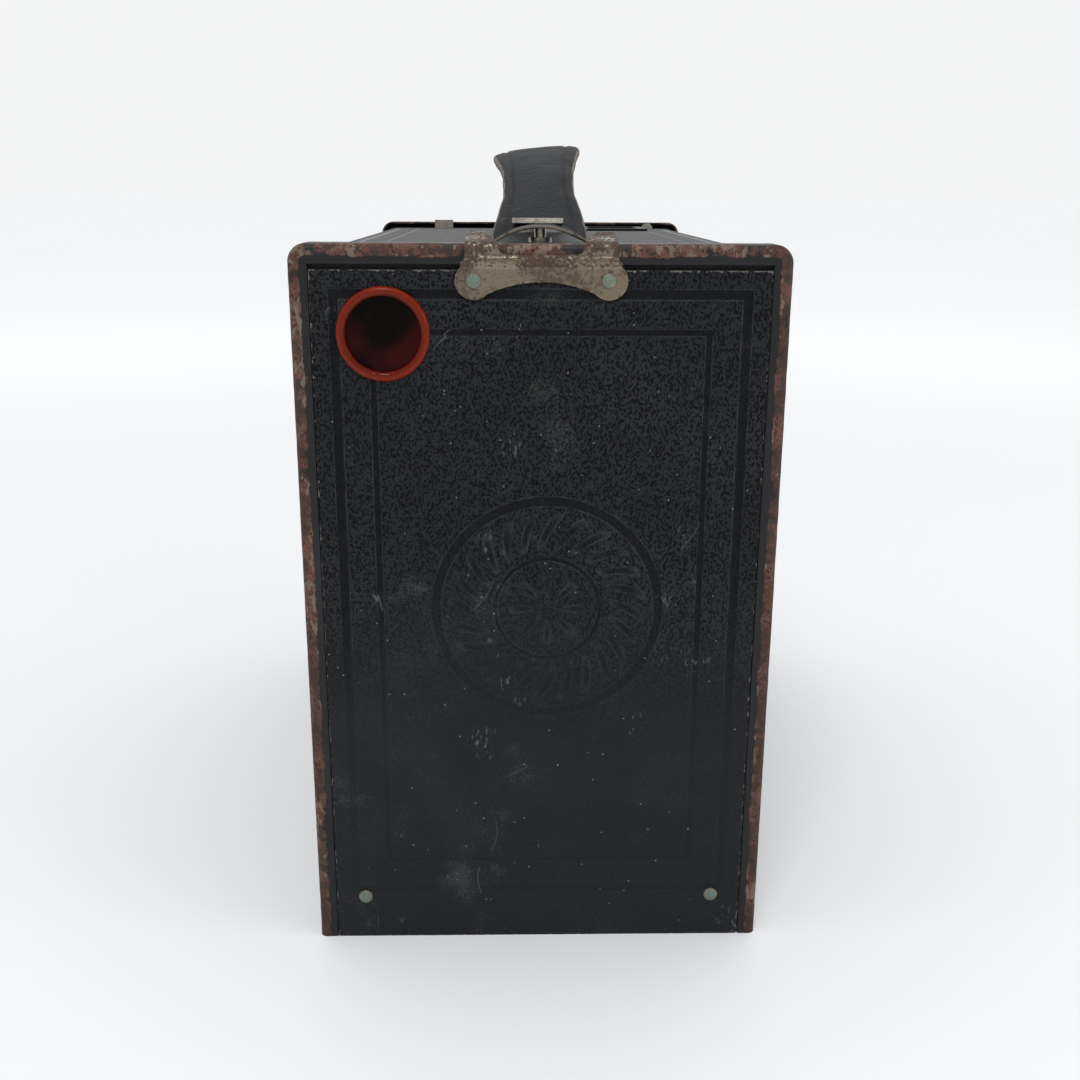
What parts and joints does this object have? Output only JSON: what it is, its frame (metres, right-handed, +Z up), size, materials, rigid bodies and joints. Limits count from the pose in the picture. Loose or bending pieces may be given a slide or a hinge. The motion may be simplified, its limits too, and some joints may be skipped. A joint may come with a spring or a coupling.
{
  "type": "box camera",
  "caption": "Leather-covered roll-film box camera with a hinged back, red film window, spring latch, carrying strap, rotary shutter, reflecting finders and a film carrier inside.",
  "frame": {"origin": "centre of the footprint of the body, on the surface that the camera stands on", "axes": "+Z up; +Y along the lens axis, out of the front, so the hinged back faces -Y; +X to the right as seen from behind, the side of the winding key"},
  "size_m": [0.0955, 0.1535, 0.1456],
  "materials": {
    "body_leatherette": "matte pebbled covering, dusty",
    "board": "blackened jute board",
    "worn_enamel": "black enamel worn to brown primer and bare metal",
    "panel_leatherette": "matte pebbled covering with embossed lines and rings",
    "nickel": "tarnished nickel plate",
    "wood": "plain softwood, stained",
    "black_enamel": "black enamelled tinplate",
    "brass": "aged brass",
    "steel": "plain steel",
    "glass": "clear glass",
    "mirror": "silvered glass",
    "ground_glass": "ground glass",
    "strap_leather": "black leather with embossed border lines and worn edges",
    "red_celluloid": "glossy dark red",
    "red_window": "very dark red",
    "felt": "black felt",
    "verdigris_rivet": "brass rivet with green verdigris",
    "latch_nickel": "nickel plate with rust speckles",
    "spool_wood": "turned softwood with enamelled flanges"
  },
  "bodies": {
    "case": {"case_covering": "body_leatherette", "case_box": "board", "front_pan": "worn_enamel", "front_covering": "panel_leatherette", "lens_ring": "nickel", "front_board": "wood", "shutter_plate": "black_enamel", "plate_screws": "brass", "shutter_studs": "steel", "meniscus_lens": "glass", "lens_retainer": "brass", "slide_guides": "steel", "top_finder_body": "black_enamel", "top_finder_lens": "glass", "top_finder_mirror": "mirror", "top_finder_screen": "ground_glass", "top_finder_bezel": "black_enamel", "side_finder_body": "black_enamel", "side_finder_lens": "glass", "side_finder_mirror": "mirror", "side_finder_screen": "ground_glass", "side_finder_bezel": "black_enamel", "strap_post_rear": "brass", "strap_post_front": "brass", "carry_strap": "strap_leather", "tripod_socket_base": "brass", "tripod_socket_side": "brass", "key_bush": "nickel", "carrier_side_left": "black_enamel", "carrier_side_right": "black_enamel", "film_gate": "black_enamel", "carrier_cone": "black_enamel", "carrier_front": "black_enamel", "film_springs": "steel", "spool_pins": "steel", "case_hinge_leaf": "steel", "hinge_pin": "steel", "latch_lugs": "nickel"},
    "door": {"door_pan": "worn_enamel", "door_covering": "panel_leatherette", "window_ring": "red_celluloid", "window_disc": "red_window", "door_seal": "felt", "door_rivets": "verdigris_rivet", "door_hinge_leaf": "steel", "latch_plate": "latch_nickel", "latch_rivets": "verdigris_rivet"},
    "latch": {"latch_arms": "latch_nickel"},
    "takeup": {"takeup_spool": "spool_wood"},
    "supply": {"supply_spool": "spool_wood"},
    "upper_roller": {"top_roller": "steel"},
    "lower_roller": {"bottom_roller": "steel"},
    "disc": {"shutter_disc": "black_enamel"},
    "lever": {"shutter_lever": "nickel"},
    "stops": {"aperture_slide": "nickel"},
    "time": {"time_slide": "nickel"},
    "washer": {"key_washer": "nickel"},
    "key": {"winding_key": "nickel"}
  },
  "joints": [
    {"name": "door_hinge", "type": "hinge", "parent": "case", "child": "door", "pos_m": [0, -0.0734, 0.0034], "axis": [1, 0, 0], "range_deg": [0, 90]},
    {"name": "latch_flex", "type": "hinge", "parent": "door", "child": "latch", "pos_m": [0, -0.076, 0.12705], "axis": [1, 0, 0], "range_deg": [0, 12], "stiffness_Nm_per_rad": 0.05},
    {"name": "shutter_lever_turn", "type": "hinge", "parent": "case", "child": "lever", "pos_m": [0.022, 0.0708, 0.045], "axis": [0, 1, 0], "range_deg": [0, 24]},
    {"name": "shutter_disc_turn", "type": "hinge", "parent": "case", "child": "disc", "pos_m": [-0.012, 0.067, 0.06355], "axis": [0, 1, 0], "range_deg": [-72, 0]},
    {"name": "aperture_slide_pull", "type": "slide", "parent": "case", "child": "stops", "axis": [0, 0, 1], "range_m": [0, 0.018]},
    {"name": "time_slide_pull", "type": "slide", "parent": "case", "child": "time", "axis": [0, 0, 1], "range_m": [0, 0.007]},
    {"name": "key_pull", "type": "slide", "parent": "case", "child": "washer", "axis": [1, 0, 0], "range_m": [0, 0.0082]},
    {"name": "key_turn", "type": "hinge", "parent": "washer", "child": "key", "pos_m": [0.05, 0.02, 0.10755], "axis": [1, 0, 0], "continuous": true},
    {"name": "takeup_spool_turn", "type": "hinge", "parent": "case", "child": "takeup", "pos_m": [0, 0.02, 0.10755], "axis": [1, 0, 0], "continuous": true},
    {"name": "supply_spool_turn", "type": "hinge", "parent": "case", "child": "supply", "pos_m": [0, 0.02, 0.01955], "axis": [1, 0, 0], "continuous": true},
    {"name": "top_roller_turn", "type": "hinge", "parent": "case", "child": "upper_roller", "pos_m": [0, -0.066, 0.1196], "axis": [1, 0, 0], "continuous": true},
    {"name": "bottom_roller_turn", "type": "hinge", "parent": "case", "child": "lower_roller", "pos_m": [0, -0.066, 0.0075], "axis": [1, 0, 0], "continuous": true}
  ],
  "couplings": [
    {"joint": "shutter_disc_turn", "follows": "shutter_lever_turn", "ratio": -3},
    {"joint": "takeup_spool_turn", "follows": "key_turn", "ratio": 1}
  ]
}
